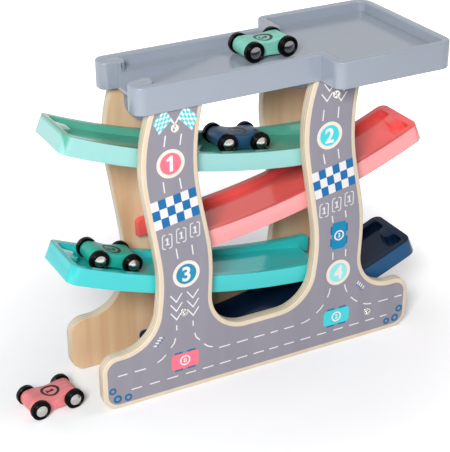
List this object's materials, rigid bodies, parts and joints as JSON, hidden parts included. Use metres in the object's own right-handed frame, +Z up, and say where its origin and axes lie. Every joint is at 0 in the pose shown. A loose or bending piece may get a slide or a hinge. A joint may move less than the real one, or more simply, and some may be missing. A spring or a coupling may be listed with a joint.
{
  "type": "car ramp toy",
  "caption": "Zigzag car ramp toy: wavy plywood panels hold a plastic top deck with a parking tray and curved plastic ramps that small wooden cars roll down.",
  "frame": {"origin": "on the floor, at the middle of the overall length and width at rest", "axes": "+X along the toy towards the parking tray, +Y to the back panel, +Z up"},
  "size_m": [0.3702, 0.1336, 0.2824],
  "materials": {
    "axle_steel": "bright domed axle heads",
    "birch_dowel": "sanded birch",
    "birch_plywood": "sanded birch plywood with a printed outer face",
    "car_mint_paint": "painted wood, satin",
    "car_navy_paint": "painted wood, satin",
    "car_pink_paint": "painted wood, satin",
    "car_teal_paint": "painted wood, satin",
    "coral_plastic": "smooth glossy moulding",
    "deck_plastic": "smooth grey moulding",
    "mint_plastic": "smooth glossy moulding",
    "navy_plastic": "smooth glossy moulding",
    "screw_steel": "plated steel",
    "teal_plastic": "smooth glossy moulding",
    "wheel_black": "black satin plastic"
  },
  "bodies": {
    "frame": {"back_panel": "birch_plywood", "back_screw_1": "screw_steel", "back_screw_2": "screw_steel", "back_screw_3": "screw_steel", "back_screw_4": "screw_steel", "front_panel": "birch_plywood", "front_screw_1": "screw_steel", "front_screw_2": "screw_steel", "front_screw_3": "screw_steel", "front_screw_4": "screw_steel", "ramp_1_mint": "mint_plastic", "ramp_2_coral": "coral_plastic", "ramp_3_teal": "teal_plastic", "ramp_4_navy": "navy_plastic", "spacer_dowel_left": "birch_dowel", "spacer_dowel_right": "birch_dowel", "top_deck": "deck_plastic"},
    "car_mint": {"car_mint_body": "car_mint_paint"},
    "car_mint_rear_wheels": {"car_mint_rear_axle": "axle_steel", "car_mint_rear_wheel_near": "wheel_black", "car_mint_rear_wheel_far": "wheel_black"},
    "car_mint_front_wheels": {"car_mint_front_axle": "axle_steel", "car_mint_front_wheel_near": "wheel_black", "car_mint_front_wheel_far": "wheel_black"},
    "car_navy": {"car_navy_body": "car_navy_paint"},
    "car_navy_rear_wheels": {"car_navy_rear_axle": "axle_steel", "car_navy_rear_wheel_near": "wheel_black", "car_navy_rear_wheel_far": "wheel_black"},
    "car_navy_front_wheels": {"car_navy_front_axle": "axle_steel", "car_navy_front_wheel_near": "wheel_black", "car_navy_front_wheel_far": "wheel_black"},
    "car_teal": {"car_teal_body": "car_teal_paint"},
    "car_teal_rear_wheels": {"car_teal_rear_axle": "axle_steel", "car_teal_rear_wheel_near": "wheel_black", "car_teal_rear_wheel_far": "wheel_black"},
    "car_teal_front_wheels": {"car_teal_front_axle": "axle_steel", "car_teal_front_wheel_near": "wheel_black", "car_teal_front_wheel_far": "wheel_black"},
    "car_pink": {"car_pink_body": "car_pink_paint"},
    "car_pink_rear_wheels": {"car_pink_rear_axle": "axle_steel", "car_pink_rear_wheel_near": "wheel_black", "car_pink_rear_wheel_far": "wheel_black"},
    "car_pink_front_wheels": {"car_pink_front_axle": "axle_steel", "car_pink_front_wheel_near": "wheel_black", "car_pink_front_wheel_far": "wheel_black"}
  },
  "joints": [
    {"name": "car_mint_deck_run", "type": "slide", "parent": "frame", "child": "car_mint", "axis": [1, 0, 0], "range_m": [-0.016, 0.106]},
    {"name": "car_mint_rear_wheels_spin", "type": "hinge", "parent": "car_mint", "child": "car_mint_rear_wheels", "pos_m": [0.02763, 0.002, 0.274], "axis": [0, 1, 0], "continuous": true},
    {"name": "car_mint_front_wheels_spin", "type": "hinge", "parent": "car_mint", "child": "car_mint_front_wheels", "pos_m": [0.05813, 0.002, 0.274], "axis": [0, 1, 0], "continuous": true},
    {"name": "car_navy_ramp_1_run", "type": "hinge", "parent": "frame", "child": "car_navy", "pos_m": [0.11556, 0, 0.81248], "axis": [0, 1, 0], "range_deg": [-2.1, 11.4]},
    {"name": "car_navy_rear_wheels_spin", "type": "hinge", "parent": "car_navy", "child": "car_navy_rear_wheels", "pos_m": [0.00223, 0, 0.20191], "axis": [0, 1, 0], "continuous": true},
    {"name": "car_navy_front_wheels_spin", "type": "hinge", "parent": "car_navy", "child": "car_navy_front_wheels", "pos_m": [0.03234, 0, 0.19708], "axis": [0, 1, 0], "continuous": true},
    {"name": "car_teal_ramp_3_run", "type": "hinge", "parent": "frame", "child": "car_teal", "pos_m": [0.11556, 0, 0.70288], "axis": [0, 1, 0], "range_deg": [-13.2, 0.4]},
    {"name": "car_teal_rear_wheels_spin", "type": "hinge", "parent": "car_teal", "child": "car_teal_rear_wheels", "pos_m": [-0.11334, 0, 0.12561], "axis": [0, 1, 0], "continuous": true},
    {"name": "car_teal_front_wheels_spin", "type": "hinge", "parent": "car_teal", "child": "car_teal_front_wheels", "pos_m": [-0.08472, 0, 0.11506], "axis": [0, 1, 0], "continuous": true},
    {"name": "car_pink_floor_run", "type": "slide", "parent": "frame", "child": "car_pink", "axis": [0.9959, 0.0906, 0], "range_m": [-0.06, 0.064]},
    {"name": "car_pink_rear_wheels_spin", "type": "hinge", "parent": "car_pink", "child": "car_pink_rear_wheels", "pos_m": [-0.17541, -0.00838, 0.0084], "axis": [-0.0906, 0.9959, 0], "continuous": true},
    {"name": "car_pink_front_wheels_spin", "type": "hinge", "parent": "car_pink", "child": "car_pink_front_wheels", "pos_m": [-0.14503, -0.00562, 0.0084], "axis": [-0.0906, 0.9959, 0], "continuous": true}
  ]
}
